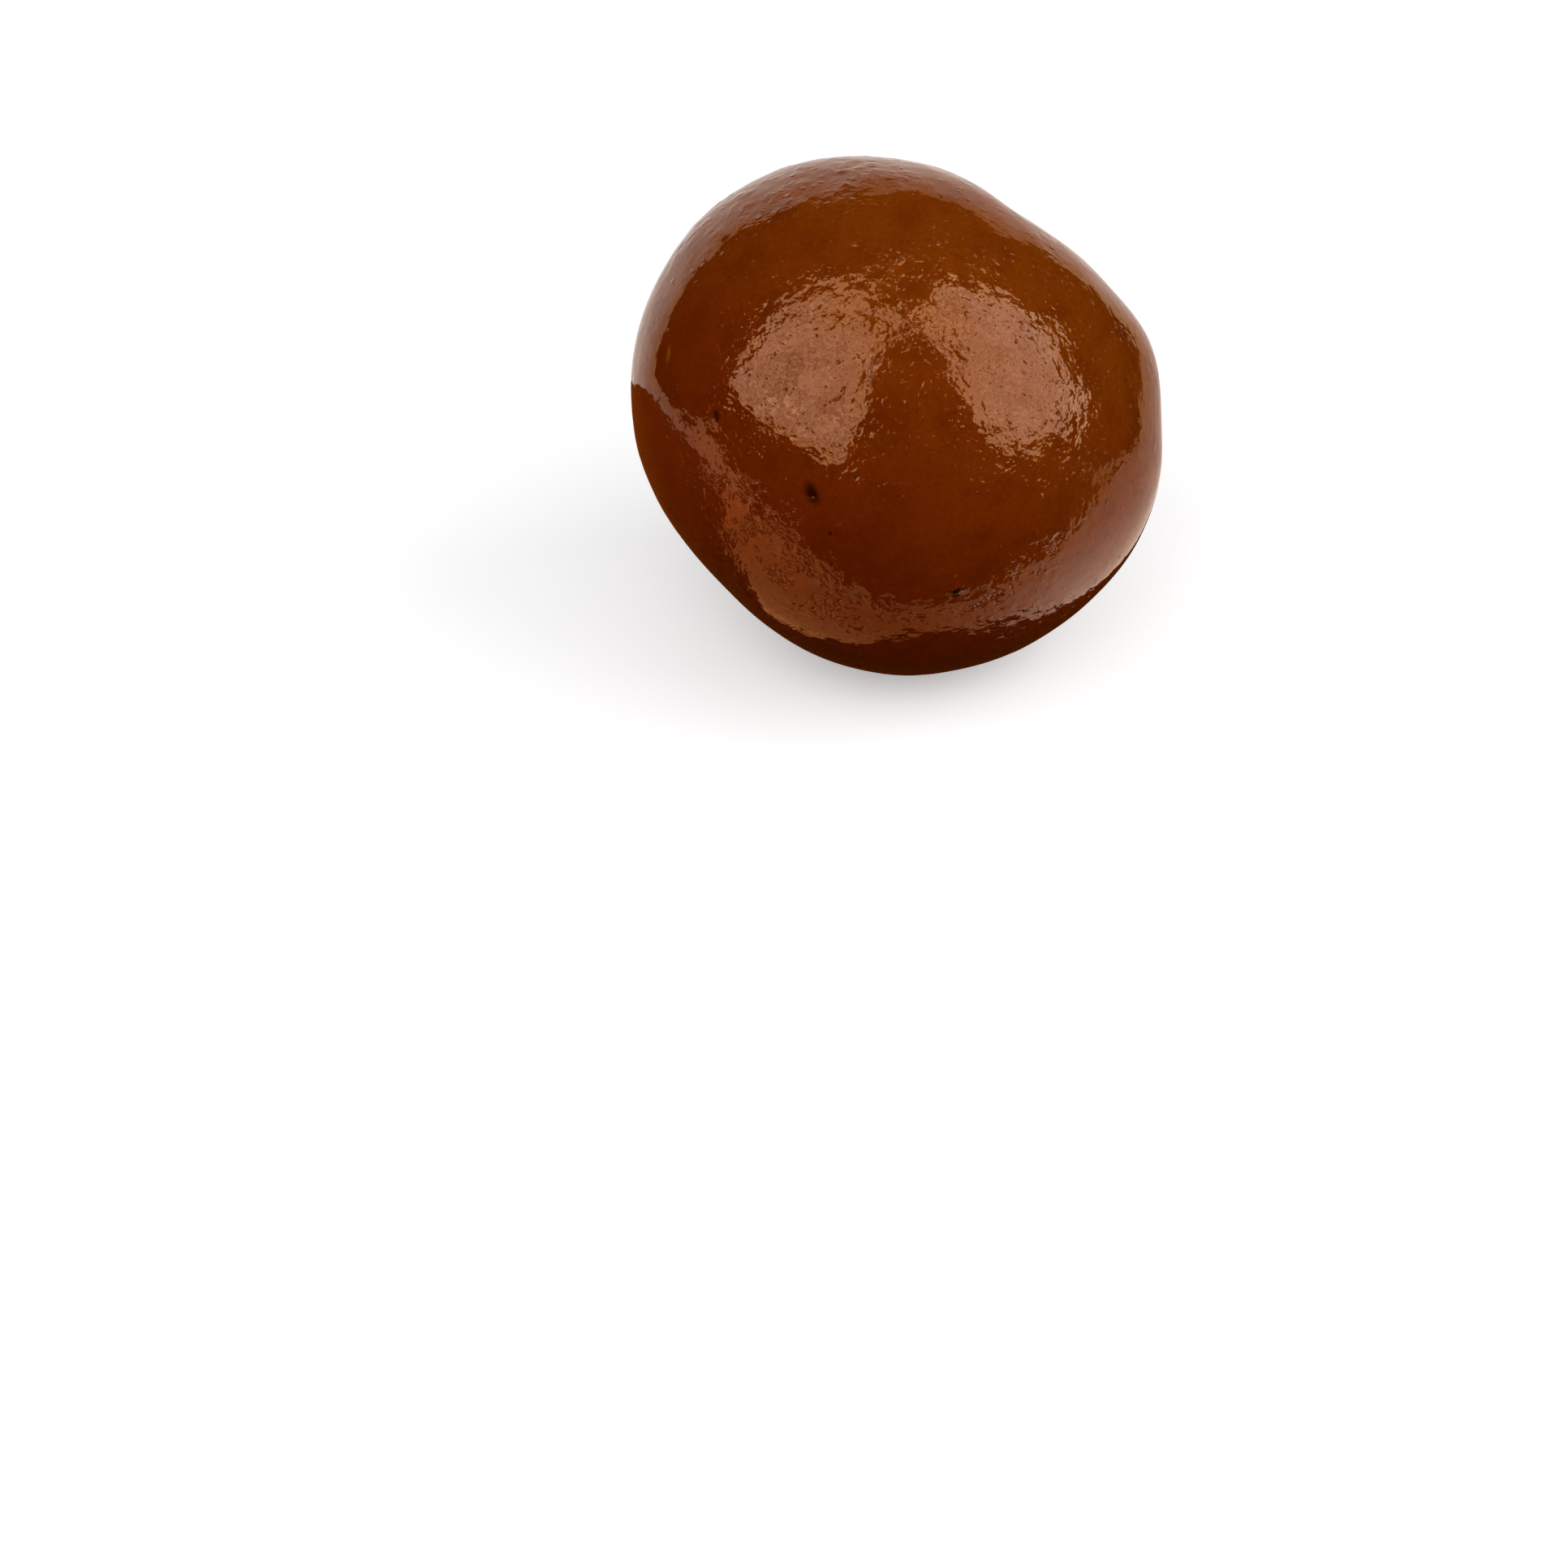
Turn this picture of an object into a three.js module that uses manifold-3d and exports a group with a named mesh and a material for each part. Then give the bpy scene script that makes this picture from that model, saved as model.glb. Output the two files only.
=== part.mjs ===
// A gulab jamun: one ball of milk dough, rolled by hand, fried brown and soaked in syrup.
// It is solid right through. Rolling, and resting while it was soft, left it uneven, with a hollow
// shoulder at the upper right, a flattened side at the lower left and fuller cheeks on the right.
// It stands on the small flat spot that its own weight gives to such soft dough.
//
// Frame: millimetres, +Z up, the origin on the floor under the middle of the ball.
// The front faces -Y, and is looked at from SEEN_FROM degrees above the floor.

import * as THREE from "three";
import { mergeVertices } from "three/addons/utils/BufferGeometryUtils.js";
import Module from "manifold-3d";

// Half lengths of the plain ball that the swells and hollows are laid on.
const HALF_LONG = 21.9;
const HALF_WIDE = 20.3;
const HALF_DEEP = 20.9;

// As seen from the front, the long axis leans this far round from the right-hand side.
const LONG_AXIS_TURN = 130;
const SEEN_FROM = 31.3;

// How far the soft ball settles into its flat spot.
const SETTLE = 0.95;

// Each division splits every edge of the starting icosahedron further: the skin's edges are about 1.3 mm.
const SKIN_DIVISIONS = 17;

// The swells and hollows. turn goes round the outline as it is seen, counter-clockwise from the right,
// and front counts from the outline towards the viewer. across is the half width along turn, along the
// half width along front, all in degrees, and height is in millimetres, below zero for a hollow.
const SWELLS = [
  { name: "hollow shoulder", turn: 56.5, front: -10, across: 15.5, along: 24, height: -2.2 },
  { name: "shoulder crease", turn: 61, front: -10, across: 5, along: 16, height: -0.85 },
  { name: "pressed side", turn: 224.5, front: 0, across: 26, along: 28, height: -0.95 },
  { name: "full cheek", turn: 343, front: 0, across: 26, along: 28, height: 1.35 },
  { name: "right brow", turn: 14.5, front: 0, across: 14, along: 25, height: 1.1 },
  { name: "flat crown", turn: 88.5, front: 0, across: 23, along: 22, height: -0.6 },
];

const rad = THREE.MathUtils.degToRad;

// The viewer's right, up and towards directions, in the part's frame.
const SEEN_RIGHT = new THREE.Vector3(1, 0, 0);
const SEEN_UP = new THREE.Vector3(0, Math.sin(rad(SEEN_FROM)), Math.cos(rad(SEEN_FROM)));
const SEEN_TOWARDS = new THREE.Vector3(0, -Math.cos(rad(SEEN_FROM)), Math.sin(rad(SEEN_FROM)));

// The direction from the ball's middle that lies at a turn and a front angle.
function seenDirection(turn, front) {
  const outline = new THREE.Vector3()
    .addScaledVector(SEEN_RIGHT, Math.cos(rad(turn)))
    .addScaledVector(SEEN_UP, Math.sin(rad(turn)));
  return outline.multiplyScalar(Math.cos(rad(front))).addScaledVector(SEEN_TOWARDS, Math.sin(rad(front)));
}

// A soft bell over the skin, as a function of the direction from the ball's middle.
function softSwell({ turn, front, across, along, height }) {
  const middle = seenDirection(turn, front);
  const round = seenDirection(turn + 90, 0);
  const forward = new THREE.Vector3().crossVectors(middle, round);
  return (direction) => {
    const a = Math.atan2(direction.dot(round), direction.dot(middle)) / rad(across);
    const b = Math.asin(THREE.MathUtils.clamp(direction.dot(forward), -1, 1)) / rad(along);
    return height * Math.exp(-a * a - b * b);
  };
}

// The distance from the ball's middle to its skin: an ellipsoid's, plus every swell and hollow.
function skinDistance() {
  const long = seenDirection(LONG_AXIS_TURN, 0);
  const wide = seenDirection(LONG_AXIS_TURN + 90, 0);
  const swells = SWELLS.map(softSwell);
  return (direction) => {
    const x = direction.dot(long) / HALF_LONG;
    const y = direction.dot(wide) / HALF_WIDE;
    const z = direction.dot(SEEN_TOWARDS) / HALF_DEEP;
    const plain = 1 / Math.sqrt(x * x + y * y + z * z);
    return swells.reduce((distance, swell) => distance + swell(direction), plain);
  };
}

// Only positions, with shared corners merged, so that the surface is one closed skin.
function closedSkin(geometry) {
  geometry.deleteAttribute("normal");
  geometry.deleteAttribute("uv");
  return mergeVertices(geometry, 1e-4);
}

// The ball about its own middle, before it settles.
function rolledBall() {
  const skin = closedSkin(new THREE.IcosahedronGeometry(1, SKIN_DIVISIONS));
  const position = skin.getAttribute("position");
  const distance = skinDistance();
  const point = new THREE.Vector3();
  for (let i = 0; i < position.count; i++) {
    point.fromBufferAttribute(position, i).normalize();
    point.multiplyScalar(distance(point));
    position.setXYZ(i, point.x, point.y, point.z);
  }
  return skin;
}

// Moves the ball so that its box is centred over the origin and its lowest point lies SETTLE under the floor.
function overOrigin(skin) {
  skin.computeBoundingBox();
  const { min, max } = skin.boundingBox;
  return skin.translate(-(min.x + max.x) / 2, -(min.y + max.y) / 2, -min.z - SETTLE);
}

// A block that reaches from the floor down, wide enough to take off all that is under the floor.
function underFloor() {
  const side = 4 * HALF_LONG;
  const depth = 2 * HALF_LONG;
  return closedSkin(new THREE.BoxGeometry(side, side, depth).translate(0, 0, -depth / 2));
}

const wasm = await Module();
wasm.setup();

function toSolid(geometry) {
  return new wasm.Manifold(
    new wasm.Mesh({
      numProp: 3,
      vertProperties: new Float32Array(geometry.getAttribute("position").array),
      triVerts: new Uint32Array(geometry.index.array),
    }),
  );
}

function toGeometry(solid) {
  const { vertProperties, triVerts } = solid.getMesh();
  const geometry = new THREE.BufferGeometry();
  geometry.setAttribute("position", new THREE.BufferAttribute(new Float32Array(vertProperties), 3));
  geometry.setIndex(new THREE.BufferAttribute(new Uint32Array(triVerts), 1));
  geometry.computeVertexNormals();
  return geometry;
}

const settled = toSolid(overOrigin(rolledBall())).subtract(toSolid(underFloor()));

const syrupSoakedDough = new THREE.MeshStandardMaterial({
  color: new THREE.Color(0x6d2c06),
  roughness: 0.12,
  metalness: 0,
});

const ball = new THREE.Mesh(toGeometry(settled), syrupSoakedDough);
ball.name = "gulab_jamun_ball";

const gulabJamun = new THREE.Group();
gulabJamun.add(ball);

export default gulabJamun;
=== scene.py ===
# %% [markdown]
# # A gulab jamun, soaked in syrup
# A gulab jamun is a ball of milk dough, rolled in the palms, fried until its skin is brown, and left in
# sugar syrup until it is soft and wet right through. Two things make it look real. The first is its form:
# it is nearly round, but every palm leaves a hollow here and a fuller cheek there. The second is the syrup,
# which lies over the fine pimples of the fried skin like varnish, so that the ball mirrors the studio
# sharply and each mirrored edge comes apart into flecks.
#
# The script makes the ball's form, its fine relief and its finish, then the camera, floor and light.

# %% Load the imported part
import math

import bpy
import numpy as np
from mathutils import Matrix, Vector


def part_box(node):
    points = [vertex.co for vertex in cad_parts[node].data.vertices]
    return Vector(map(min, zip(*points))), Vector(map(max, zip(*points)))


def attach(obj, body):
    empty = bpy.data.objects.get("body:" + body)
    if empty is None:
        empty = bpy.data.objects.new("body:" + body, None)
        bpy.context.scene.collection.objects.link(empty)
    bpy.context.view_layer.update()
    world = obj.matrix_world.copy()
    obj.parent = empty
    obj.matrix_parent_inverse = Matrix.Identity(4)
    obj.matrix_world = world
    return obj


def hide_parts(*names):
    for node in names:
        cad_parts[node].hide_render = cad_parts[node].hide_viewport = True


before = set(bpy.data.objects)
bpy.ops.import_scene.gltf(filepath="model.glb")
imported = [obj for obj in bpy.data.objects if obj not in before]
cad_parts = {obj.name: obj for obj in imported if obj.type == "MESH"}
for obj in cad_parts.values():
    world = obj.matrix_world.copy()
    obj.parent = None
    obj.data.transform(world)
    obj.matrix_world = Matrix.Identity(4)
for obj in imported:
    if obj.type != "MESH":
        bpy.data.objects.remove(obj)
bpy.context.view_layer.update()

BALL = "gulab_jamun_ball"
MM = 0.001

ball_low, ball_high = (np.array(corner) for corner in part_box(BALL))
print("nodes:", sorted(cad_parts), "size in mm:", ((ball_high - ball_low) / MM).round(2))

# %% [markdown]
# ## Directions as the photographer saw them
# The hollows and cheeks are known from one side only, so it is handy to name a place on the ball the way a
# viewer would. `turn` goes round the outline like the hand of a clock run backwards, from the viewer's
# right, and `front` counts from the outline towards the viewer. Sine and cosine then give the direction.

# %% Directions from the ball's middle
SEEN_FROM = 31.3
SEEN_RIGHT = np.array([1.0, 0.0, 0.0])
SEEN_UP = np.array([0.0, math.sin(math.radians(SEEN_FROM)), math.cos(math.radians(SEEN_FROM))])
SEEN_TOWARDS = np.array([0.0, -math.cos(math.radians(SEEN_FROM)), math.sin(math.radians(SEEN_FROM))])


def seen_direction(turn, front):
    """cos(turn) of right plus sin(turn) of up, swung forward by front; all angles in degrees."""
    turn, front = math.radians(turn), math.radians(front)
    outline = math.cos(turn) * SEEN_RIGHT + math.sin(turn) * SEEN_UP
    return math.cos(front) * outline + math.sin(front) * SEEN_TOWARDS


def soft_bell(directions, turn, front, across, along):
    """exp(-a² - b²), with a and b the angles from the bell's middle, round the outline and towards the
    viewer, each over its half width in degrees: 1 at the middle and smoothly down to 0."""
    middle = seen_direction(turn, front)
    outward = seen_direction(turn + 90, 0)
    forward = np.cross(middle, outward)
    a = np.arctan2(directions @ outward, directions @ middle) / math.radians(across)
    b = np.arcsin(np.clip(directions @ forward, -1, 1)) / math.radians(along)
    return np.exp(-a * a - b * b)


print("straight at the viewer:", seen_direction(0, 90).round(3))

# %% [markdown]
# ## The rolled form
# The plain ball is an ellipsoid, and each swell or hollow adds a soft bell to its distance from the middle.
# The numbers are the part's own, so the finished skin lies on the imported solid. A ball could also be
# sculpted by hand, but a formula keeps the solid and the skin in step.

# %% Distance from the middle to the skin
HALF_LONG, HALF_WIDE, HALF_DEEP = 21.9 * MM, 20.3 * MM, 20.9 * MM
LONG_AXIS_TURN = 130
SWELLS = {
    "hollow shoulder": dict(turn=56.5, front=-10, across=15.5, along=24, height=-2.2 * MM),
    "shoulder crease": dict(turn=61, front=-10, across=5, along=16, height=-0.85 * MM),
    "pressed side": dict(turn=224.5, front=0, across=26, along=28, height=-0.95 * MM),
    "full cheek": dict(turn=343, front=0, across=26, along=28, height=1.35 * MM),
    "right brow": dict(turn=14.5, front=0, across=14, along=25, height=1.1 * MM),
    "flat crown": dict(turn=88.5, front=0, across=23, along=22, height=-0.6 * MM),
}


def form_distance(directions):
    """1 / sqrt(x² + y² + z²), with x, y and z the direction's shares of the three axes over the half
    lengths, plus height times its soft bell for every swell."""
    x = directions @ seen_direction(LONG_AXIS_TURN, 0) / HALF_LONG
    y = directions @ seen_direction(LONG_AXIS_TURN + 90, 0) / HALF_WIDE
    z = directions @ SEEN_TOWARDS / HALF_DEEP
    distance = 1 / np.sqrt(x * x + y * y + z * z)
    for swell in SWELLS.values():
        bell = {name: value for name, value in swell.items() if name != "height"}
        distance = distance + swell["height"] * soft_bell(directions, **bell)
    return distance


nearest = form_distance(seen_direction(0, 90)[None])[0]
print("from the middle to the skin that faces the viewer:", round(nearest / MM, 2), "mm")

# %% [markdown]
# ## A net without poles
# A globe's net crowds its faces at two poles, where a mirror-bright skin shows a star. A cube's six square
# nets, blown up to a ball, have faces of nearly one size everywhere. Every net point is a whole number
# along each edge, so points that two sides share get the same number and the seams close by themselves.

# %% Six square nets on a ball
NET = 128


def cube_net(count):
    """Directions and faces of a cube's six nets of count by count squares. Along each edge a step s from
    -1 to 1 becomes tan(s · 45°), so that the squares keep one size once the cube is blown up."""
    step = np.arange(count + 1)
    across, along = np.meshgrid(step, step, indexing="ij")
    sides = []
    for axis in range(3):
        for level in (0, count):
            side = np.zeros((count + 1, count + 1, 3), int)
            side[..., axis] = level
            side[..., (axis + 1) % 3] = across if level else along
            side[..., (axis + 2) % 3] = along if level else across
            sides.append(side)
    lattice = np.array(sides)
    keys = lattice @ np.array([(count + 1) ** 2, count + 1, 1])
    _, first, number = np.unique(keys, return_index=True, return_inverse=True)
    number = number.reshape(keys.shape)
    corner = np.tan((lattice.reshape(-1, 3)[first] * 2 / count - 1) * math.pi / 4)
    directions = corner / np.linalg.norm(corner, axis=1, keepdims=True)
    squares = np.stack([number[:, :-1, :-1], number[:, 1:, :-1], number[:, 1:, 1:], number[:, :-1, 1:]], -1)
    return directions, squares.reshape(-1, 4)


directions, squares = cube_net(NET)
form = form_distance(directions)
plain = directions * form[:, None]
middle = np.array([*((ball_low + ball_high) / 2 - (plain.min(0) + plain.max(0)) / 2)[:2],
                   ball_high[2] - plain[:, 2].max()])
print(len(directions), "points,", 2 * len(squares), "triangles, middle at", (middle / MM).round(2), "mm")

# %% [markdown]
# ## Where the skin is rough and where the syrup fills it
# Fried dough is finely wrinkled. Where syrup has gathered it fills the wrinkles and the skin is smooth as
# glass; where it has drained they stand out. Each zone is one more soft bell, this time of roughness. The
# side that no picture shows gets zones by chance, from a slow random swell.

# %% Random swells and rough zones
ROUGH_ZONES = {
    "crown's inner edge": dict(turn=109, front=31, across=26, along=9, share=0.80),
    "crown's right edge": dict(turn=75, front=29, across=14, along=8, share=0.35),
    "above the left cheek": dict(turn=115, front=58, across=30, along=10, share=0.75),
    "between the cheeks": dict(turn=80, front=70, across=20, along=9, share=0.75),
    "above the right cheek": dict(turn=52, front=54, across=24, along=9, share=0.45),
    "right cheek's left edge": dict(turn=25, front=76, across=15, along=5, share=0.50),
    "right cheek's side": dict(turn=12, front=46, across=24, along=9, share=0.55),
    "under the right cheek": dict(turn=335, front=60, across=26, along=11, share=0.7),
    "right cheek's lower side": dict(turn=300, front=78, across=24, along=8, share=0.4),
    "left of the left cheek": dict(turn=166, front=52, across=16, along=6, share=0.12),
    "lower left flank": dict(turn=222, front=40, across=20, along=13, share=0.45),
    "lower front": dict(turn=272, front=40, across=30, along=10, share=0.55),
    "lower right flank": dict(turn=322, front=38, across=20, along=7, share=0.25),
    "right shoulder": dict(turn=38, front=30, across=34, along=9, share=0.18),
}
ROUGH_ANYWHERE = 0.10
CHANCE_IN_FRONT, CHANCE_BEHIND = 0.10, 0.28
CHANCE_LENGTH = 13 * MM
BEHIND_SLOPE = 2
ROUGH_PATCHES = dict(length=4 * MM, strength=0.28, seed=12)
LEAST_ROUGH, MOST_ROUGH = 0.04, 1.3


def zoned(directions, zones):
    """The sum over the zones of share times the zone's soft bell."""
    total = np.zeros(len(directions))
    for zone in zones.values():
        bell = {name: value for name, value in zone.items() if name != "share"}
        total += zone["share"] * soft_bell(directions, **bell)
    return total


def rolling(points, wavelength, seed, waves=56):
    """The sum of faint cosine waves of one length, each across its own random direction and with its own
    random start, scaled so that its usual size is 1."""
    chance = np.random.default_rng(seed)
    heading = chance.normal(size=(waves, 3))
    heading /= np.linalg.norm(heading, axis=1, keepdims=True)
    start = chance.uniform(0, 2 * math.pi, waves)
    return np.cos(points @ heading.T * (2 * math.pi / wavelength) + start).sum(1) * math.sqrt(2 / waves)


def patchy(share, length, strength, seed):
    """The share times 1 + strength · random swell, which breaks a zone up into patches."""
    return share * (1 + strength * rolling(plain, length, seed))


behind = np.clip(-BEHIND_SLOPE * directions @ SEEN_TOWARDS, 0, 1)
by_chance = CHANCE_IN_FRONT + (CHANCE_BEHIND - CHANCE_IN_FRONT) * behind
by_chance = by_chance * rolling(plain, CHANCE_LENGTH, seed=11)
rough = ROUGH_ANYWHERE + by_chance + zoned(directions, ROUGH_ZONES)
rough = np.clip(patchy(rough, **ROUGH_PATCHES), LEAST_ROUGH, MOST_ROUGH)
print("rough share of the skin:", round(float((rough > 0.4).mean()), 2))

# %% [markdown]
# ## Pores, dimples and pimples
# Three more maps are made in the same way. The full cheeks were pressed smooth and only their pores show.
# The lower flanks are dimpled like peel. The crown has small peaks, with smooth skin between them.

# %% Zones of pores, dimples and pimples
PORED_ZONES = {
    "left cheek": dict(turn=143, front=66, across=20, along=19, share=1.0),
    "right cheek": dict(turn=25, front=61, across=20, along=19, share=1.0),
    "lower left flank": dict(turn=220, front=46, across=22, along=16, share=1.0),
}
DIMPLED_ZONES = {
    "lower left flank": dict(turn=222, front=48, across=24, along=12, share=1.15),
    "lower front": dict(turn=262, front=40, across=18, along=9, share=0.7),
    "lower right flank": dict(turn=308, front=42, across=16, along=7, share=0.9),
}
PIMPLED_ZONES = {
    "crown": dict(turn=107, front=18, across=27, along=16, share=1.1),
    "left shoulder": dict(turn=140, front=16, across=18, along=12, share=0.4),
}
PORED_PATCHES = dict(length=5 * MM, strength=0.35, seed=13)
DIMPLED_PATCHES = dict(length=4 * MM, strength=0.35, seed=14)
PORED_BEHIND = 0.5
LEAST_PORED = 0.03
MOST_DIMPLED = 1.1

pored = patchy(zoned(directions, PORED_ZONES), **PORED_PATCHES)
pored = np.clip(pored + PORED_BEHIND * behind, LEAST_PORED, 1)
dimpled = patchy(zoned(directions, DIMPLED_ZONES), **DIMPLED_PATCHES)
dimpled = np.clip(dimpled, 0, MOST_DIMPLED)
pimpled = zoned(directions, PIMPLED_ZONES)
print("pored, dimpled, pimpled:", [round(float(one.mean()), 3) for one in (pored, dimpled, pimpled)])

# %% [markdown]
# ## Relief that is really there
# Swells down to about a millimetre are moved points of the skin, so that the outline and a mirrored edge
# both follow them. Long waves are the palms' last unevenness and run all over. Short ones are the wrinkled
# skin, and the pimples are small bells at random places; both grow where the maps say so.

# %% Relief from the palms, the wrinkled skin and its pimples
PALM_WAVES = {9: 0.020, 5: 0.011}
SKIN_WAVES = {2.4: 0.012, 1.3: 0.0070}
PIMPLES = 1500
PIMPLE_HALF_WIDTH = 0.44 * MM
PIMPLE_HEIGHT = 0.080 * MM
SMALLEST_PIMPLE = 0.6
WRINKLED_BY_DIMPLES, WRINKLED_BY_PIMPLES = 0.6, 0.7
PIMPLED_BY_ROUGHNESS = 0.5


def swells(waves, seed):
    """The sum over the waves, given as length: height in mm, of height times the random swell."""
    return sum(height * MM * rolling(plain, length * MM, seed=seed + number)
               for number, (length, height) in enumerate(waves.items()))


def pimples(points, count, seed):
    """For every point the sum over the pimples of exp(-(gap / half width)²), each of its own size."""
    chance = np.random.default_rng(seed)
    place = points[chance.choice(len(points), count, replace=False)]
    size = chance.uniform(SMALLEST_PIMPLE, 1.0, count)
    total = np.zeros(len(points))
    for centre, share in zip(place, size):
        gap = ((points - centre) ** 2).sum(1) / (PIMPLE_HALF_WIDTH * share) ** 2
        total += share * np.exp(-gap)
    return total


wrinkled = rough + WRINKLED_BY_DIMPLES * dimpled + WRINKLED_BY_PIMPLES * pimpled
relief = swells(PALM_WAVES, seed=20) + wrinkled * swells(SKIN_WAVES, seed=30)
pimply = PIMPLED_BY_ROUGHNESS * rough ** 2 + pimpled
relief += pimply * PIMPLE_HEIGHT * pimples(plain, PIMPLES, seed=40)
micrometres = relief / MM * 1000
print("relief in micrometres:", micrometres.min().round(0), "to", micrometres.max().round(0))

# %% [markdown]
# ## The flat spot underneath
# So soft a ball settles until it stands on a small flat spot. Its rim is rounded: heights near the floor
# follow a parabola that starts flat on the floor and ends in the free skin.

# %% Settle the ball and put it into a mesh
FLAT_SPOT_ROUNDING = 0.35 * MM


def settled(height, rounding):
    """0 far below the floor, the height itself far above it, and (height + r)² / 4r between -r and r."""
    curve = (height + rounding) ** 2 / (4 * rounding)
    return np.where(height < -rounding, 0.0, np.where(height > rounding, height, curve))


skin = middle + directions * (form + relief)[:, None]
skin[:, 2] = settled(skin[:, 2], FLAT_SPOT_ROUNDING)


def mesh_piece(name, points, faces):
    """A smooth mesh object at the origin, its points set in one stroke."""
    mesh = bpy.data.meshes.new(name)
    mesh.from_pydata(points.tolist(), [], faces.tolist())
    mesh.polygons.foreach_set("use_smooth", np.ones(len(faces), bool))
    mesh.update()
    piece = bpy.data.objects.new(name, mesh)
    bpy.context.scene.collection.objects.link(piece)
    return piece


ball = mesh_piece("soaked_ball", skin, squares)
SKIN_MAPS = {"rough_skin": rough, "pored_skin": pored, "dimpled_skin": dimpled, "pimpled_skin": pimpled}
for name, share in SKIN_MAPS.items():
    ball.data.attributes.new(name, "FLOAT", "POINT").data.foreach_set("value", share.astype(np.float32))
print("ball from", skin.min(0).round(5), "to", skin.max(0).round(5))

# %% [markdown]
# ## Writing a finish as a formula
# A finish is a net of nodes, but it is easier to read as arithmetic. `Flow` is a value on its way through
# the nodes: adding or multiplying two of them adds the Math node that does it.

# %% A value on its way through the nodes
class Flow:
    """One socket of a node tree, with the arithmetic that a finish needs."""

    def __init__(self, tree, socket=None):
        self.tree = tree
        self.socket = socket

    def node(self, kind, settings, inputs, out=0):
        """Adds a node of that kind: its settings first, then a number, colour or Flow for each input."""
        made = self.tree.nodes.new(kind)
        for name, value in settings.items():
            setattr(made, name, value)
        for name, value in inputs.items():
            if isinstance(value, Flow):
                self.tree.links.new(value.socket, made.inputs[name])
            else:
                made.inputs[name].default_value = value
        return Flow(self.tree, made.outputs[out] if made.outputs else None)

    def maths(self, operation, *values):
        """A Math node with that operation on the values."""
        return self.node("ShaderNodeMath", {"operation": operation}, dict(enumerate(values)))

    def vector(self, operation, *values, out=0):
        """A Vector Math node with that operation on the values."""
        return self.node("ShaderNodeVectorMath", {"operation": operation}, dict(enumerate(values)), out)

    def __add__(self, other):
        return self.maths("ADD", self, other)

    def __sub__(self, other):
        return self.maths("SUBTRACT", self, other)

    def __rsub__(self, other):
        return self.maths("SUBTRACT", other, self)

    def __mul__(self, other):
        return self.maths("MULTIPLY", self, other)

    def __truediv__(self, other):
        return self.maths("DIVIDE", self, other)

    def __pow__(self, other):
        return self.maths("POWER", self, other)

    def __lt__(self, other):
        return self.maths("LESS_THAN", self, other)

    __radd__ = __add__
    __rmul__ = __mul__

    def most(self, other):
        """The greater of the two."""
        return self.maths("MAXIMUM", self, other)

    def rise(self, start, end):
        """0 before start, 1 after end and an S-curve between them."""
        settings = {"interpolation_type": "SMOOTHSTEP"}
        inputs = {"Value": self, "From Min": start, "From Max": end}
        return self.node("ShaderNodeMapRange", settings, inputs)

    def mix(self, first, second):
        """The first colour where this is 0 and the second where it is 1."""
        settings = {"data_type": "RGBA"}
        return self.node("ShaderNodeMix", settings, {0: self, 6: first, 7: second}, out=2)

    def dot(self, direction):
        """x · dx + y · dy + z · dz: how far a place lies along the direction."""
        return self.vector("DOT_PRODUCT", self, tuple(direction), out=1)


def new_finish(name):
    """A material with an empty tree, and a Flow to start from."""
    material = bpy.data.materials.new(name)
    material.use_nodes = True
    material.node_tree.nodes.clear()
    return material, Flow(material.node_tree)


# %% [markdown]
# ## The finish: brown skin under syrup
# The skin's brown is the sugar and milk caught by the frying oil. It is soft-edged, because light goes a
# little way into the dough, which the subsurface part of the shader does. The syrup is clear and far
# smoother than the skin, so the gloss is nearly a mirror. It takes the skin's warmth where it is looked
# into, and is colourless at a glance, which is what the specular tint does.

# %% Places on the skin, in millimetres
material, start = new_finish("fried_skin_in_syrup")
in_metres = start.node("ShaderNodeTexCoord", {}, {}, out="Object")
place = start.vector("MULTIPLY", in_metres, (1 / MM, 1 / MM, 1 / MM))


def skin_map(name):
    """The map that the mesh carries under that name."""
    return start.node("ShaderNodeAttribute", {"attribute_name": name}, {}, out="Fac")


roughness_map, pored_map = skin_map("rough_skin"), skin_map("pored_skin")
dimpled_map, pimpled_map = skin_map("dimpled_skin"), skin_map("pimpled_skin")
print("maps on the skin:", sorted(SKIN_MAPS))

# %% [markdown]
# Nothing on a fried skin is truly round. Dots and marks are therefore laid on a ragged place: the place
# moved a little by noise, which tears their outlines.

# %% Clouds and dots
TEARS_PER_MM = 2.2
RAGGEDNESS = 0.45

tears = {"Vector": place, "Scale": TEARS_PER_MM, "Detail": 2.0}
torn = start.node("ShaderNodeTexNoise", {}, tears, out="Color")
torn = start.vector("SUBTRACT", torn, (0.5, 0.5, 0.5))
torn = start.vector("MULTIPLY", torn, (RAGGEDNESS, RAGGEDNESS, RAGGEDNESS))
ragged_place = start.vector("ADD", place, torn)


def clouds(size, detail=2.0):
    """Soft noise between 0 and 1 whose clouds are about size millimetres across."""
    inputs = {"Vector": place, "Scale": 1 / size, "Detail": detail}
    return start.node("ShaderNodeTexNoise", {}, inputs)


def dots(spacing, radius, share):
    """1 in the middle of scattered dots and 0 round them: the cells of a Voronoi pattern, of which a
    share holds a dot."""
    cells = {"Vector": ragged_place, "Scale": 1 / spacing}
    near = start.node("ShaderNodeTexVoronoi", {}, cells, out="Distance") * spacing
    lot = start.node("ShaderNodeTexVoronoi", {}, cells, out="Color").dot((1, 0, 0))
    return (1 - near.rise(0, radius)) * (lot < share)
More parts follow.
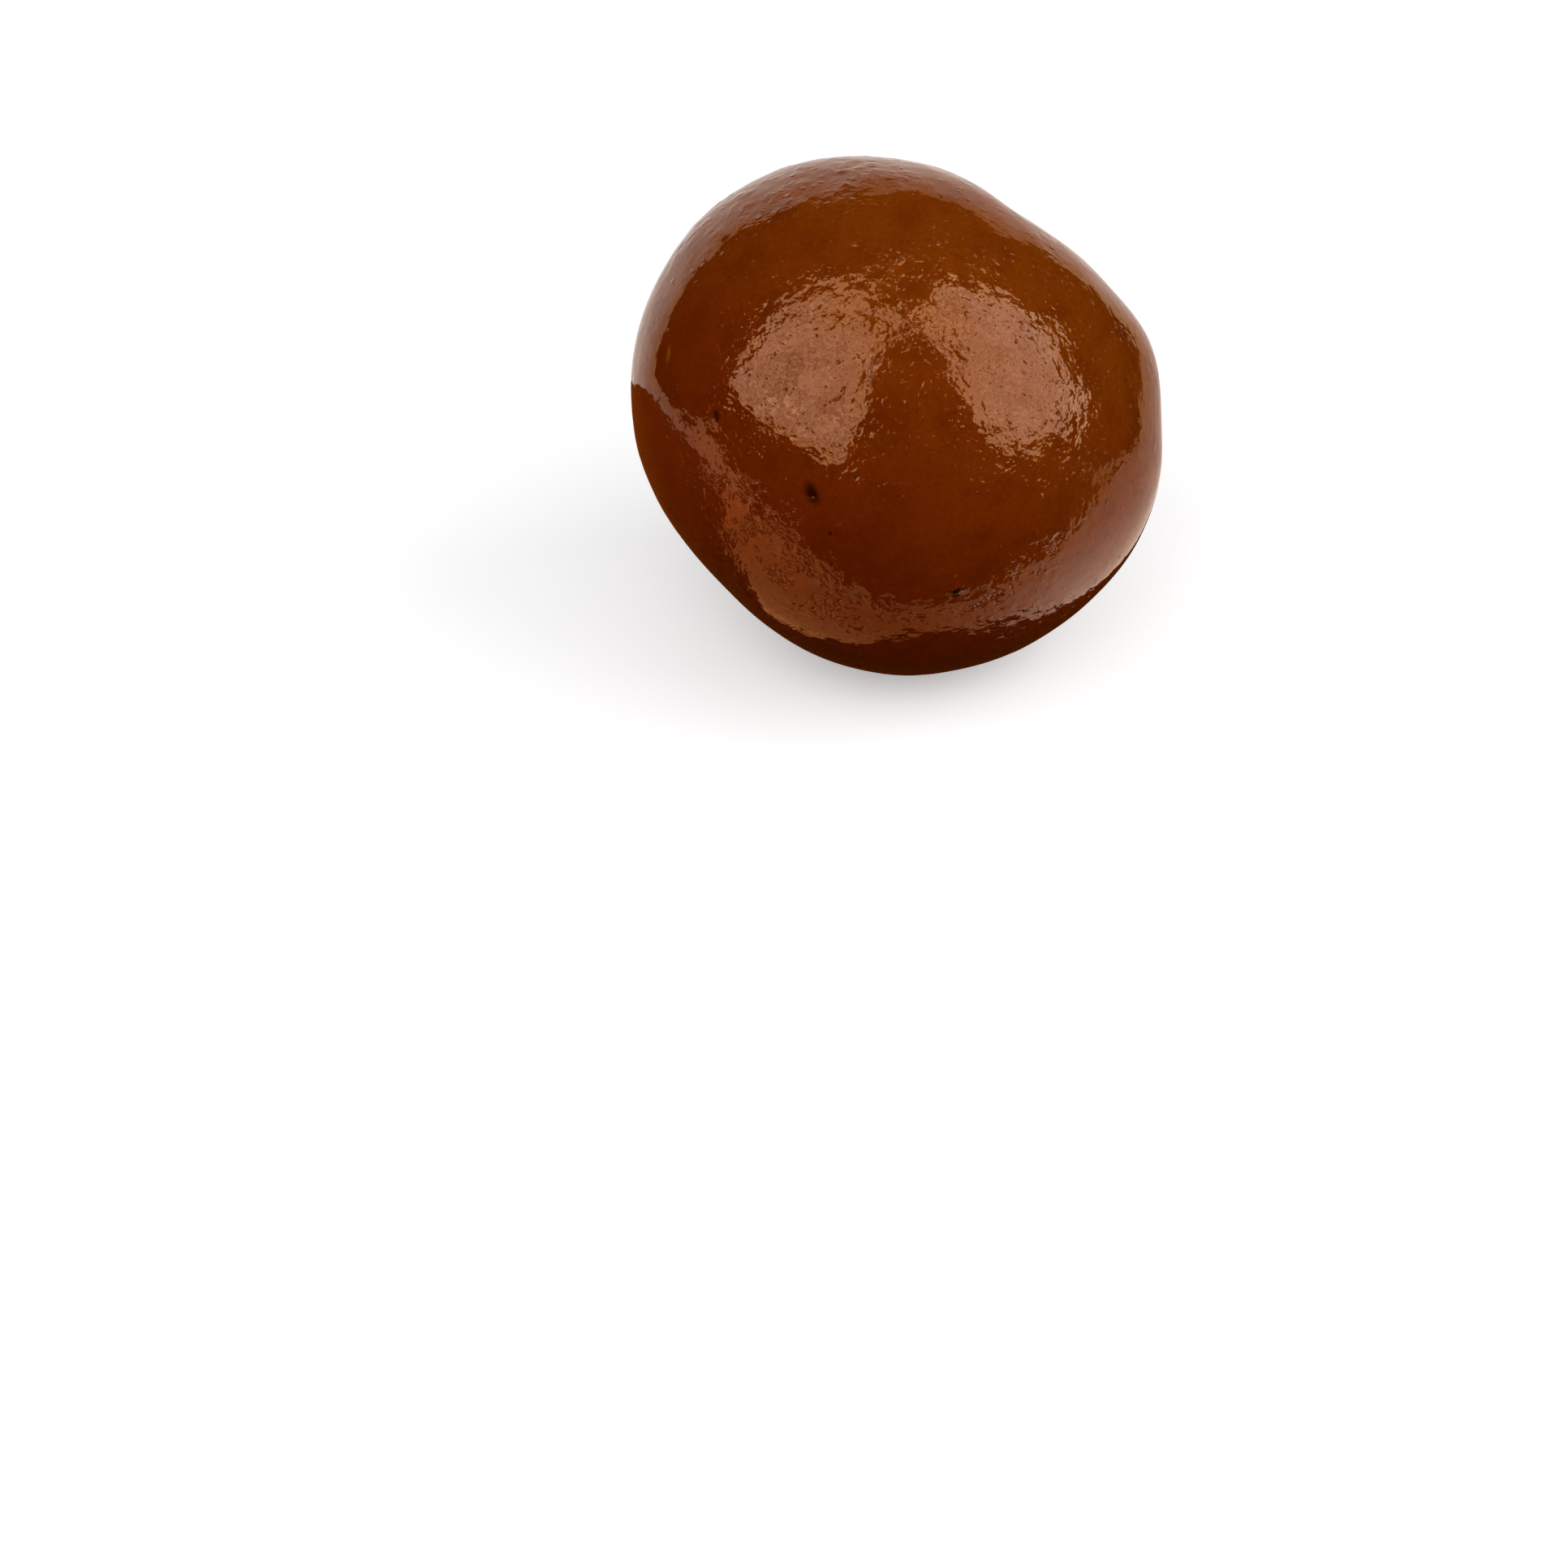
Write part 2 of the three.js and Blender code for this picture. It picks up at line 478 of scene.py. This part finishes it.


# %% [markdown]
# The brown is deeper on the lower left and more amber on the upper right: painted light on the upper right,
# where more light falls, and painted shade on the lower left.
# Wide and fine darker clouds lie over both, and then small brown specks.

# %% Skin colours, cloudy and speckled
SKIN_SHADED_DEEP = (0.158, 0.0142, 0.0004, 1)
SKIN_LIT_AMBER = (0.174, 0.0330, 0.0008, 1)
SKIN_DARK = (0.105, 0.0110, 0.0003, 1)
# The brown of specks, crumbs and peaks, and also the painted shade inside the hollows.
SPECK_AND_SHADE_BROWN = (0.022, 0.0022, 0.0002, 1)
SKIN_THIN = (0.30, 0.090, 0.004, 1)
LIT_AMBER_SIDE = 0.5 * SEEN_RIGHT + 0.7 * SEEN_UP
LIT_AMBER_FADE = 20
BORDER_SIZE, BORDER_SWING = 7.0, 14
WIDE_CLOUDS = dict(size=3.2, start=0.42, darkness=0.50)
FINE_CLOUDS = dict(size=0.40, start=0.35, darkness=0.35)
CLOUD_MIDDLE = 0.75
SPECKS = dict(spacing=0.9, radius=0.16, share=0.4)
SPECK_DARKNESS = 0.40

# Painted light and shade: lighter and more amber towards the lit upper right, deeper brown towards the
# shaded lower left.
from_middle = start.vector("SUBTRACT", place, tuple(middle / MM))
towards_lit_amber = from_middle.dot(LIT_AMBER_SIDE / np.linalg.norm(LIT_AMBER_SIDE))
towards_lit_amber = towards_lit_amber + BORDER_SWING * (clouds(BORDER_SIZE) - 0.5)
skin_colour = towards_lit_amber.rise(-LIT_AMBER_FADE, LIT_AMBER_FADE).mix(SKIN_SHADED_DEEP, SKIN_LIT_AMBER)
for cloud in (WIDE_CLOUDS, FINE_CLOUDS):
    shade = clouds(cloud["size"], detail=3.0).rise(cloud["start"], CLOUD_MIDDLE) * cloud["darkness"]
    skin_colour = shade.mix(skin_colour, SKIN_DARK)
skin_colour = (dots(**SPECKS) * SPECK_DARKNESS).mix(skin_colour, SPECK_AND_SHADE_BROWN)
print("colour nodes so far:", len(material.node_tree.nodes))

# %% [markdown]
# ## Marks that every fried ball has
# Burnt crumbs from the oil, a blister, the crown's few tall peaks, a pit where a bubble burst, small
# gouges, and one place on the left where the skin is thin and light. Each is an oval on the skin. A Mapping
# node lays the oval down: it moves to the place, turns and stretches, so that the oval is where the mapped
# vector is shorter than 1. `slant` is the oval's tilt as the viewer sees it, and `tone` and `lift` say how
# dark it is and how far it stands out, in millimetres.

# %% Named marks
CRUMBS = {
    "long burnt crumb": dict(turn=223.5, front=65.1, long=1.40, wide=0.80, slant=108, tone=0.95, lift=-0.02),
    "low burnt crumb": dict(turn=290, front=46.5, long=1.05, wide=0.60, slant=12, tone=1.0, lift=0.16),
    "dot on the left": dict(turn=180.4, front=49.2, long=0.66, wide=0.50, slant=130, tone=1.0, lift=0.0),
    "dot below the crumb": dict(turn=241.5, front=60.0, long=0.34, wide=0.26, slant=90, tone=0.9, lift=0.0),
    "last dot": dict(turn=247, front=53.0, long=0.26, wide=0.22, slant=0, tone=0.8, lift=0.0),
    "by the blister": dict(turn=102, front=48.6, long=0.30, wide=0.16, slant=150, tone=0.7, lift=-0.02),
    "in the gap": dict(turn=7.6, front=85.5, long=0.24, wide=0.22, slant=0, tone=0.5, lift=0.0),
}
PEAKS = {
    "blister": dict(turn=103.1, front=50.7, long=0.34, wide=0.30, slant=0, tone=0.1, lift=0.09),
    "tallest on the crown": dict(turn=107.3, front=18.8, long=0.44, wide=0.26, slant=5, tone=0.3, lift=0.13),
    "right of the tallest": dict(turn=94.4, front=21.8, long=0.36, wide=0.24, slant=0, tone=0.3, lift=0.10),
    "left of the tallest": dict(turn=114.1, front=21.4, long=0.30, wide=0.24, slant=0, tone=0.2, lift=0.10),
    "outer peak": dict(turn=117.2, front=17.7, long=0.30, wide=0.24, slant=0, tone=0.2, lift=0.10),
    "inner peak": dict(turn=116.6, front=24.9, long=0.28, wide=0.22, slant=0, tone=0.2, lift=0.08),
}
# In the hollows, tone is painted shade: the brown is darkened where a pit, gouge or fold lies in shadow.
HOLLOWS = {
    "burst bubble": dict(turn=238.5, front=74.3, long=0.36, wide=0.24, slant=15, tone=0.7, lift=-0.09),
    "ring pit": dict(turn=30.6, front=58.4, long=0.22, wide=0.22, slant=0, tone=0.35, lift=-0.07),
    "cheek's middle": dict(turn=112, front=78.0, long=0.34, wide=0.14, slant=35, tone=0.3, lift=-0.06),
    "gouge": dict(turn=156.1, front=78.1, long=0.46, wide=0.22, slant=70, tone=0.2, lift=-0.10),
    "gouge's lower end": dict(turn=165.5, front=77.5, long=0.50, wide=0.18, slant=25, tone=0.2, lift=-0.09),
    "fold by the gouge": dict(turn=124.1, front=80.5, long=1.60, wide=0.20, slant=82, tone=0.1, lift=-0.09),
    "above the gouge": dict(turn=137.5, front=73.7, long=0.38, wide=0.19, slant=35, tone=0.2, lift=-0.08),
    "small one above": dict(turn=123, front=75.5, long=0.20, wide=0.17, slant=0, tone=0.3, lift=-0.07),
    "cheek's left side": dict(turn=153.9, front=60.7, long=0.19, wide=0.17, slant=0, tone=0.3, lift=-0.07),
    "under that one": dict(turn=167.4, front=65.8, long=0.20, wide=0.14, slant=20, tone=0.3, lift=-0.06),
}
THIN_PLACE = dict(turn=165, front=31, long=1.0, wide=0.45, slant=100)
THINNESS = 0.6
MARK_SOFTNESS = 0.20


def oval(turn, front, long, wide, slant):
    """1 inside an oval on the skin and softly 0 outside: 1 - S-curve of the mapped vector's length."""
    outward = seen_direction(turn, front)
    centre = (middle + outward * form_distance(outward[None])[0]) / MM
    slant = math.radians(slant)
    lengthways = math.cos(slant) * SEEN_RIGHT + math.sin(slant) * SEEN_UP
    lengthways = lengthways - outward * (lengthways @ outward)
    lengthways /= np.linalg.norm(lengthways)
    lie = Matrix((lengthways, np.cross(outward, lengthways), outward)).transposed().to_euler()
    inputs = {"Vector": ragged_place, "Location": tuple(centre), "Rotation": tuple(lie),
              "Scale": (long, wide, wide)}
    mapped = start.node("ShaderNodeMapping", {"vector_type": "TEXTURE"}, inputs)
    return 1 - mapped.vector("LENGTH", mapped, out=1).rise(MARK_SOFTNESS, 1)


print("marks:", ", ".join([*CRUMBS, *PEAKS, *HOLLOWS]))

# %% Lay the marks down
marks_lift = 0
mark_shapes = {}
for family in (CRUMBS, PEAKS, HOLLOWS):
    for name, mark in family.items():
        shape = oval(*(mark[key] for key in ("turn", "front", "long", "wide", "slant")))
        # Crumbs and dots get their own brown here; in the hollows the same darkening is painted shade.
        skin_colour = (shape * mark["tone"]).mix(skin_colour, SPECK_AND_SHADE_BROWN)
        marks_lift = marks_lift + shape * mark["lift"]
        mark_shapes[name] = shape
skin_colour = (oval(**THIN_PLACE) * THINNESS).mix(skin_colour, SKIN_THIN)
print(len(mark_shapes), "marks and one thin place")

# %% [markdown]
# ## The skin's finest relief
# What is finer than a millimetre is a bump in the finish. Slow waves tilt the syrup a little everywhere.
# Flecks are the tops of a noise, cut off at a level: the rougher the skin, the lower the level and the more
# of them come through. Dimples are the same, pushed in.

# %% Waves, flecks and dimples
WAVE_SIZE, WAVE_HEIGHT = 1.1, 0.15
WAVES_ANYWHERE, WAVES_BY_PORES, WAVES_BY_ROUGHNESS = 0.12, 0.28, 0.75
ROUGHNESS_POWER = 1.4
FLECKS = dict(size=0.95, height=0.19, level=0.69, drop=0.19, detail=1.5)
FINE_FLECKS = dict(size=0.36, height=0.20, level=0.765, drop=0.15, detail=1.0)
DIMPLES = dict(size=0.55, height=0.40, level=0.90, drop=0.41, detail=1.5)


def tops(share, size, height, level, drop, detail):
    """height · (noise - level), cut off at 0. The level sinks by drop · share, which lets more through."""
    return height * (clouds(size, detail) - (level - drop * share)).most(0)


waves = WAVE_HEIGHT * clouds(WAVE_SIZE, detail=2.2)
wave_share = WAVES_ANYWHERE + WAVES_BY_PORES * pored_map
wave_share = wave_share + WAVES_BY_ROUGHNESS * roughness_map ** ROUGHNESS_POWER
flecks = tops(roughness_map, **FLECKS) + tops(roughness_map, **FINE_FLECKS)
flecks = flecks * (1 - mark_shapes["long burnt crumb"].rise(0, 0.3))
dimples = tops(dimpled_map, **DIMPLES)
print("nodes with the waves, flecks and dimples:", len(material.node_tree.nodes))

# %% [markdown]
# Small peaks, pits and pores are scattered dots. Peaks stand where the skin is pimpled or very rough, and
# pits and pores lie where it is pored. All is summed to one height in millimetres, for one Bump node.

# %% Peaks, pits, pores and the whole bump
SMALL_PEAKS = dict(spacing=1.3, radius=0.32, share=0.6)
SMALL_PITS = dict(spacing=0.70, radius=0.15, share=0.8)
PORES = dict(spacing=0.40, radius=0.10, share=0.8)
PEAK_HEIGHT, PIT_DEPTH, PORE_DEPTH = 0.16, 0.060, 0.030
PEAKS_BY_ROUGHNESS = 0.6
PORE_GROUP_SIZE = 3.5

peak_share = (PEAKS_BY_ROUGHNESS * roughness_map.rise(0.55, 1.05)).most(pimpled_map)
peaks = PEAK_HEIGHT * dots(**SMALL_PEAKS) * peak_share
pits = PIT_DEPTH * dots(**SMALL_PITS)
pores = PORE_DEPTH * dots(**PORES) * clouds(PORE_GROUP_SIZE, detail=1.0).rise(0.40, 0.56)
height = waves * wave_share + flecks + peaks - dimples - (pits + pores) * pored_map + marks_lift
bump = start.node("ShaderNodeBump", {}, {"Strength": 1.0, "Distance": MM, "Height": height})
print("nodes with the bump:", len(material.node_tree.nodes))

# %% The syrup over it
SYRUP_ROUGHNESS = 0.030
SYRUP_IOR = 1.49
SYRUP_TINT = (1.0, 0.50, 0.26, 1)
LIGHT_REACH = 0.9 * MM
REACH_OF_RED_GREEN_BLUE = (1.0, 0.45, 0.2)

surface = start.node("ShaderNodeBsdfPrincipled", {}, {
    "Base Color": skin_colour,
    "Roughness": SYRUP_ROUGHNESS,
    "IOR": SYRUP_IOR,
    "Specular Tint": SYRUP_TINT,
    "Subsurface Weight": 1.0,
    "Subsurface Radius": REACH_OF_RED_GREEN_BLUE,
    "Subsurface Scale": LIGHT_REACH,
    "Normal": bump,
})
start.node("ShaderNodeOutputMaterial", {}, {"Surface": surface})
ball.data.materials.append(material)
print("nodes in the finish:", len(material.node_tree.nodes))

# %% [markdown]
# ## The ball's place in the part
# The skin moves with the part's only body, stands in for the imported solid's own mesh, and wears its one
# material slot.

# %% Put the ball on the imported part
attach(ball, "root")
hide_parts(BALL)
print(ball.name, "rides on root and stands in for", BALL)

# %% [markdown]
# ## The camera
# A long lens from a third of a metre away: perspective is slight, and the ball sits right of and above the
# middle of the frame. The camera is placed by going back from the ball along the line of sight through the
# pixel that shows its middle.

# %% Camera at the viewing angle
IMAGE_SIDE = 1932
LENS_IN_PIXELS = 5000
SENSOR = 36.0
CAMERA_PITCH = math.radians(36.5)
BALL_PIXEL = (1094.7, 510.4)
BALL_AWAY = 331.6 * MM

ahead = np.array([0, math.cos(CAMERA_PITCH), -math.sin(CAMERA_PITCH)])
upward = np.array([0, math.sin(CAMERA_PITCH), math.cos(CAMERA_PITCH)])
sight = (ahead * LENS_IN_PIXELS + SEEN_RIGHT * (BALL_PIXEL[0] - IMAGE_SIDE / 2)
         + upward * (IMAGE_SIDE / 2 - BALL_PIXEL[1]))
sight /= np.linalg.norm(sight)

camera = bpy.data.objects.new("camera", bpy.data.cameras.new("camera"))
camera.data.sensor_width = SENSOR
camera.data.lens = LENS_IN_PIXELS * SENSOR / IMAGE_SIDE
camera.data.clip_start, camera.data.clip_end = 0.01, 50
camera.location = middle - sight * BALL_AWAY
camera.rotation_euler = (math.pi / 2 - CAMERA_PITCH, 0, 0)
bpy.context.scene.collection.objects.link(camera)
bpy.context.scene.camera = camera
bpy.context.scene.view_settings.view_transform = "Standard"
print("lens", round(camera.data.lens, 2), "mm, camera at", (np.array(camera.location) / MM).round(1), "mm")

# %% [markdown]
# ## The floor
# A plain pale floor that takes the ball's shadow. It is kept out of the syrup's mirror and lights nothing:
# a real studio would lay dark card just out of sight to keep the brown deep.

# %% Floor
FLOOR_REACH = 3.0
FLOOR_DROP = 0.1 * MM
FLOOR_WHITE = (0.80, 0.80, 0.80, 1)
FLOOR_GLOW = 0.30

corners = np.array([[-1, -1], [1, -1], [1, 1], [-1, 1]]) * FLOOR_REACH
floor = mesh_piece("floor", np.column_stack([corners, np.full(4, -FLOOR_DROP)]), np.array([[0, 1, 2, 3]]))
floor_material, board = new_finish("pale_floor")
matt = board.node("ShaderNodeBsdfDiffuse", {}, {"Color": FLOOR_WHITE})
glow = board.node("ShaderNodeEmission", {}, {"Color": (1, 1, 1, 1), "Strength": FLOOR_GLOW})
both = board.node("ShaderNodeAddShader", {}, {0: matt, 1: glow})
board.node("ShaderNodeOutputMaterial", {}, {"Surface": both})
floor.data.materials.append(floor_material)
floor.visible_glossy = False
floor.visible_diffuse = False
print("floor", 2 * FLOOR_REACH, "m wide,", FLOOR_DROP / MM, "mm under the ball")

# %% [markdown]
# ## The lamps that light the brown
# Three soft lamps stand high on the left, on the right and in front, and a faint one behind keeps the back
# from going black. They light the matt brown alone, because what the syrup mirrors is painted further on,
# where its shape is easy to choose.

# %% Lamps
LAMP_AWAY = 0.6


def towards(azimuth, elevation):
    """The direction at that azimuth, 0 in front and 90 on the right, and at that elevation, in degrees."""
    azimuth, elevation = math.radians(azimuth), math.radians(elevation)
    return np.array([math.sin(azimuth) * math.cos(elevation), -math.cos(azimuth) * math.cos(elevation),
                     math.sin(elevation)])


def soft_lamp(name, azimuth, elevation, size, radiance):
    """A square area light facing the ball. Power = radiance · π · area."""
    lamp = bpy.data.lights.new(name, "AREA")
    lamp.shape = "SQUARE"
    lamp.size = size
    lamp.energy = radiance * math.pi * size * size
    outward = Vector(towards(azimuth, elevation))
    level = Vector((0, 0, 1)).cross(outward).normalized()
    turned = Matrix((level, outward.cross(level), outward)).transposed().to_4x4()
    placed = bpy.data.objects.new(name, lamp)
    placed.matrix_world = Matrix.Translation(Vector(middle) + outward * LAMP_AWAY) @ turned
    placed.visible_camera = False
    placed.visible_glossy = False
    bpy.context.scene.collection.objects.link(placed)


soft_lamp("left_lamp", azimuth=-45, elevation=39, size=0.6, radiance=1.48)
soft_lamp("right_lamp", azimuth=78, elevation=32, size=0.6, radiance=2.25)
soft_lamp("front_lamp", azimuth=8, elevation=33, size=0.5, radiance=1.68)
soft_lamp("back_lamp", azimuth=180, elevation=8, size=0.6, radiance=0.60)

# %% [markdown]
# ## The studio in the syrup's mirror
# The syrup mirrors two big soft boxes as bright patches, the wall between them, a white sweep that runs
# under the ball and up behind it as a pale rim, and dark flags low on the left and in front. All of it is
# painted on the world by direction, for the gloss only. `off` is the angle from straight ahead, and a clock
# angle goes the way round, like `turn`.

# %% Directions in the world
world = bpy.data.worlds.new("studio")
world.use_nodes = True
world.node_tree.nodes.clear()
world.cycles.sampling_method = "NONE"
bpy.context.scene.world = world
sky = Flow(world.node_tree)
looked_at = sky.node("ShaderNodeTexCoord", {}, {}, out="Generated")
right, up = looked_at.dot(SEEN_RIGHT), looked_at.dot(SEEN_UP)
off = sky.maths("ARCCOSINE", looked_at.dot(-SEEN_TOWARDS)) * math.degrees(1)
reach = sky.maths("SQRT", right * right + up * up).most(1e-6)


def facing(clock):
    """The cosine of the angle between a direction's clock angle and this one."""
    return (right * math.cos(math.radians(clock)) + up * math.sin(math.radians(clock))) / reach


def lobe(clock, sharpness):
    """exp(sharpness · (cosine - 1)): 1 at that clock angle, smoothly down on both sides."""
    return sky.maths("EXPONENT", sharpness * (facing(clock) - 1))


def lobes(named):
    """The sum over the named lobes, each a clock angle, a sharpness and a size, of size times the lobe."""
    return sum(size * lobe(clock, sharpness) for clock, sharpness, size in named.values())


def uneven(scale, detail):
    """Soft noise by direction, 0 to 1, with about scale clouds to a radian."""
    inputs = {"Vector": looked_at, "Scale": scale, "Detail": detail}
    return sky.node("ShaderNodeTexNoise", {}, inputs)


# %% [markdown]
# The sweep reaches from straight ahead to `sweep_edge`, and the flags stand before it up to `flag_edge`.
# A clean circle would look drawn, so lobes push the edge out and in where the real one bulges. Each lobe is
# a clock angle, a sharpness and a size in degrees.

# %% Edges of the sweep and the flags
SWEEP_REACH = 53
SWEEP_REACH_BELOW = 34
BELOW, FLAG_SIDE = 268.5, 264
BELOW_START, BELOW_END = -0.08, 0.20
FLAG_START, FLAG_END = 0.0, 0.12
SWEEP_BULGES = {
    "over the crown": (105, 6, 16),
    "at the hollow shoulder": (60, 12, 10),
    "right of the shoulder": (31, 25, -13),
    "beside the full cheek": (341, 25, -8),
    "lower left": (225, 6, 10),
    "left flank": (200, 20, 6),
    "beside the left dot": (186, 60, -9),
}
LEFT_FLAG = {"left": (204, 6.3, 85)}
FRONT_FLAG = {"front": (280, 3.1, 68)}

below = facing(BELOW).rise(BELOW_START, BELOW_END)
sweep_edge = SWEEP_REACH + SWEEP_REACH_BELOW * below + lobes(SWEEP_BULGES)
flag_edge = lobes(LEFT_FLAG).most(lobes(FRONT_FLAG)) * facing(FLAG_SIDE).rise(FLAG_START, FLAG_END)
behind_flag = off < flag_edge
sweep = (off < sweep_edge) * (1 - behind_flag)
print("sweep up to", SWEEP_REACH, "degrees, and to", SWEEP_REACH + SWEEP_REACH_BELOW, "below")

# %% [markdown]
# The sweep is whitest at the rim, warm white further in, orange at its very edge and amber low down, where
# it is lit through syrup. Its light and the flags' change with the clock angle too. `grain` is a slight
# unevenness, which the wrinkles then scramble.

# %% Light and colour of the sweep and the flags
SWEEP_RIM = (1.0, 0.90, 0.85, 1)
SWEEP_WHITE = (1.0, 0.79, 0.67, 1)
SWEEP_FRINGE = (1.0, 0.64, 0.32, 1)
SWEEP_LOW = (1.0, 0.36, 0.11, 1)
FLAG_BROWN = (1.0, 0.19, 0.012, 1)
RIM_END, WHITE_START = 6, 36
FRINGE_WIDTH = 12
SWEEP_LOW_PLACES = {"lower left": (220, 6, 1.0), "below": (270, 7, 1.0), "right": (350, 4, 0.25)}
SWEEP_GLOW = 0.95
SWEEP_LIGHTS = {
    "lower right": (318, 8, 0.58),
    "right": (0, 8, -0.28),
    "upper left": (155, 9, -0.05),
    "crown": (97, 9, -0.08),
}
LOW_GLOW = {"lower left, far round": (209, 7, 1.7)}
LOW_GLOW_START, LOW_GLOW_END = 50, 100
FLAG_GLOW = 0.07
FLAG_LIGHTS = {"left": (190, 8, 0.16)}
GRAINS_PER_RADIAN = 28
SWEEP_GRAIN = 0.7

sweep_colour = off.rise(RIM_END, WHITE_START).mix(SWEEP_RIM, SWEEP_WHITE)
sweep_colour = lobes(SWEEP_LOW_PLACES).mix(sweep_colour, SWEEP_LOW)
sweep_colour = (sweep_edge - off).rise(0, FRINGE_WIDTH).mix(SWEEP_FRINGE, sweep_colour)
low_glow = lobes(LOW_GLOW) * off.rise(LOW_GLOW_START, LOW_GLOW_END)
grain = uneven(GRAINS_PER_RADIAN, 1) - 0.5
sweep_light = sweep * (SWEEP_GLOW + lobes(SWEEP_LIGHTS) + low_glow + SWEEP_GRAIN * grain)
flag_light = behind_flag * (FLAG_GLOW + lobes(FLAG_LIGHTS))
print("nodes for the sweep and the flags:", len(world.node_tree.nodes))

# %% [markdown]
# Each soft box is a polygon with rounded corners, given as azimuths and elevations, and a fold bites into
# one side of it. The cloth is white, warmer high up and at its seams, and a little cloudy. The wall behind
# the boxes glows faintly, most between them.

# %% Soft boxes and the wall between them
PANEL_ROUNDING = 0.10
PANEL_EDGE = 0.012
BOX_WHITE = (1.0, 1.0, 1.0, 1)
BOX_AMBER = (1.0, 0.88, 0.50, 1)
WALL_AMBER = (1.0, 0.60, 0.10, 1)
LEFT_BOX_LIGHT, RIGHT_BOX_LIGHT, WALL_LIGHT = 4.5, 5.0, 2.6
LEFT_FOLD = dict(azimuth=4, elevation=46, start=0.988, darkness=1.0)
RIGHT_FOLD = dict(azimuth=39, elevation=52, start=0.985, darkness=0.7)
FOLD_MIDDLE = 0.995
WALL_REACH = 0.5
HIGH_START, HIGH_END = 0.80, 0.98
HIGH_WARMTH = 0.6
SEAM_WIDTH = 0.08
CLOTH_BASE = -0.15
WIDE_CLOTH_CLOUDS, WIDE_CLOTH_SHARE = 6, 0.8
FINE_CLOTH_CLOUDS, FINE_CLOTH_SHARE = 12, 1.5
CLOTH_GRAIN = 2.4


def panel(*corners):
    """How far inside a flat panel a direction is, as a sine, and negative outside. The plane through two
    corners and the ball's middle bounds the panel on one side, and the least depth behind them counts."""
    corners = [towards(*corner) for corner in corners]
    centre = np.mean(corners, axis=0)
    inside = None
    for first, second in zip(corners, corners[1:] + corners[:1]):
        across = np.cross(first, second)
        across *= np.sign(across @ centre) / np.linalg.norm(across)
        depth = looked_at.dot(across)
        inside = depth if inside is None else sky.maths("SMOOTH_MIN", inside, depth, PANEL_ROUNDING)
    return inside


def fold(azimuth, elevation, start, darkness):
    """0 to darkness, as the cosine of the angle from the fold goes from start to its middle."""
    return darkness * looked_at.dot(towards(azimuth, elevation)).rise(start, FOLD_MIDDLE)


def soft_box(light, depth, darkness):
    """The light inside the panel and 0 outside, times what the fold's darkness leaves."""
    return light * depth.rise(-PANEL_EDGE, PANEL_EDGE) * (1 - darkness)


left_depth = panel((-82, 13), (-86, 62), (-76, 80), (14, 73), (15, 66), (-12, 27), (-21, 5), (-56, 9))
right_depth = panel((38, 70), (107, 70), (112, 44), (102, 8), (82, -1), (46, 10), (38, 35))
high_warmth = looked_at.dot((0, 0, 1)).rise(HIGH_START, HIGH_END) * HIGH_WARMTH
seam_warmth = 1 - left_depth.most(right_depth).rise(0, SEAM_WIDTH)
box_colour = high_warmth.most(seam_warmth).mix(BOX_WHITE, BOX_AMBER)
left_box = soft_box(LEFT_BOX_LIGHT, left_depth, fold(**LEFT_FOLD))
right_box = soft_box(RIGHT_BOX_LIGHT, right_depth, fold(**RIGHT_FOLD))
cloth = CLOTH_BASE + WIDE_CLOTH_SHARE * uneven(WIDE_CLOTH_CLOUDS, 2.5)
cloth = cloth + FINE_CLOTH_SHARE * uneven(FINE_CLOTH_CLOUDS, 1) + CLOTH_GRAIN * grain
box_light = (left_box + right_box) * cloth
wall_light = WALL_LIGHT * (left_depth + WALL_REACH).most(0) * (right_depth + WALL_REACH).most(0)
print("nodes with the boxes and the wall:", len(world.node_tree.nodes))

# %% [markdown]
# Three kinds of ray now see three worlds: the gloss sees the painted studio, the matt brown a plain soft
# room that lights it from above, and the camera a pale backdrop.

# %% One world for each kind of ray
ROOM_WHITE = (1.0, 1.0, 1.0, 1)
BACKDROP = (0.93, 0.93, 0.93, 1)
ROOM_LIGHT = 0.43
ROOM_START, ROOM_END = -0.3, 0.5


def painted(colour, strength):
    """Light of that colour, times strength."""
    return sky.node("ShaderNodeBackground", {}, {"Color": colour, "Strength": strength})


def together(first, second):
    """The sum of two lights."""
    return sky.node("ShaderNodeAddShader", {}, {0: first, 1: second})


def for_ray(kind, others, these):
    """The shader that rays of that kind see, and the one for all others."""
    is_kind = sky.node("ShaderNodeLightPath", {}, {}, out=kind)
    return sky.node("ShaderNodeMixShader", {}, {0: is_kind, 1: others, 2: these})


sweep_and_flags = together(painted(sweep_colour, sweep_light), painted(FLAG_BROWN, flag_light))
boxes_and_wall = together(painted(box_colour, box_light), painted(WALL_AMBER, wall_light))
room = painted(ROOM_WHITE, ROOM_LIGHT * looked_at.dot((0, 0, 1)).rise(ROOM_START, ROOM_END))
lit = for_ray("Is Glossy Ray", room, together(sweep_and_flags, boxes_and_wall))
shown = for_ray("Is Camera Ray", lit, painted(BACKDROP, 1.0))
sky.node("ShaderNodeOutputWorld", {}, {"Surface": shown})
print("nodes in the world:", len(world.node_tree.nodes))
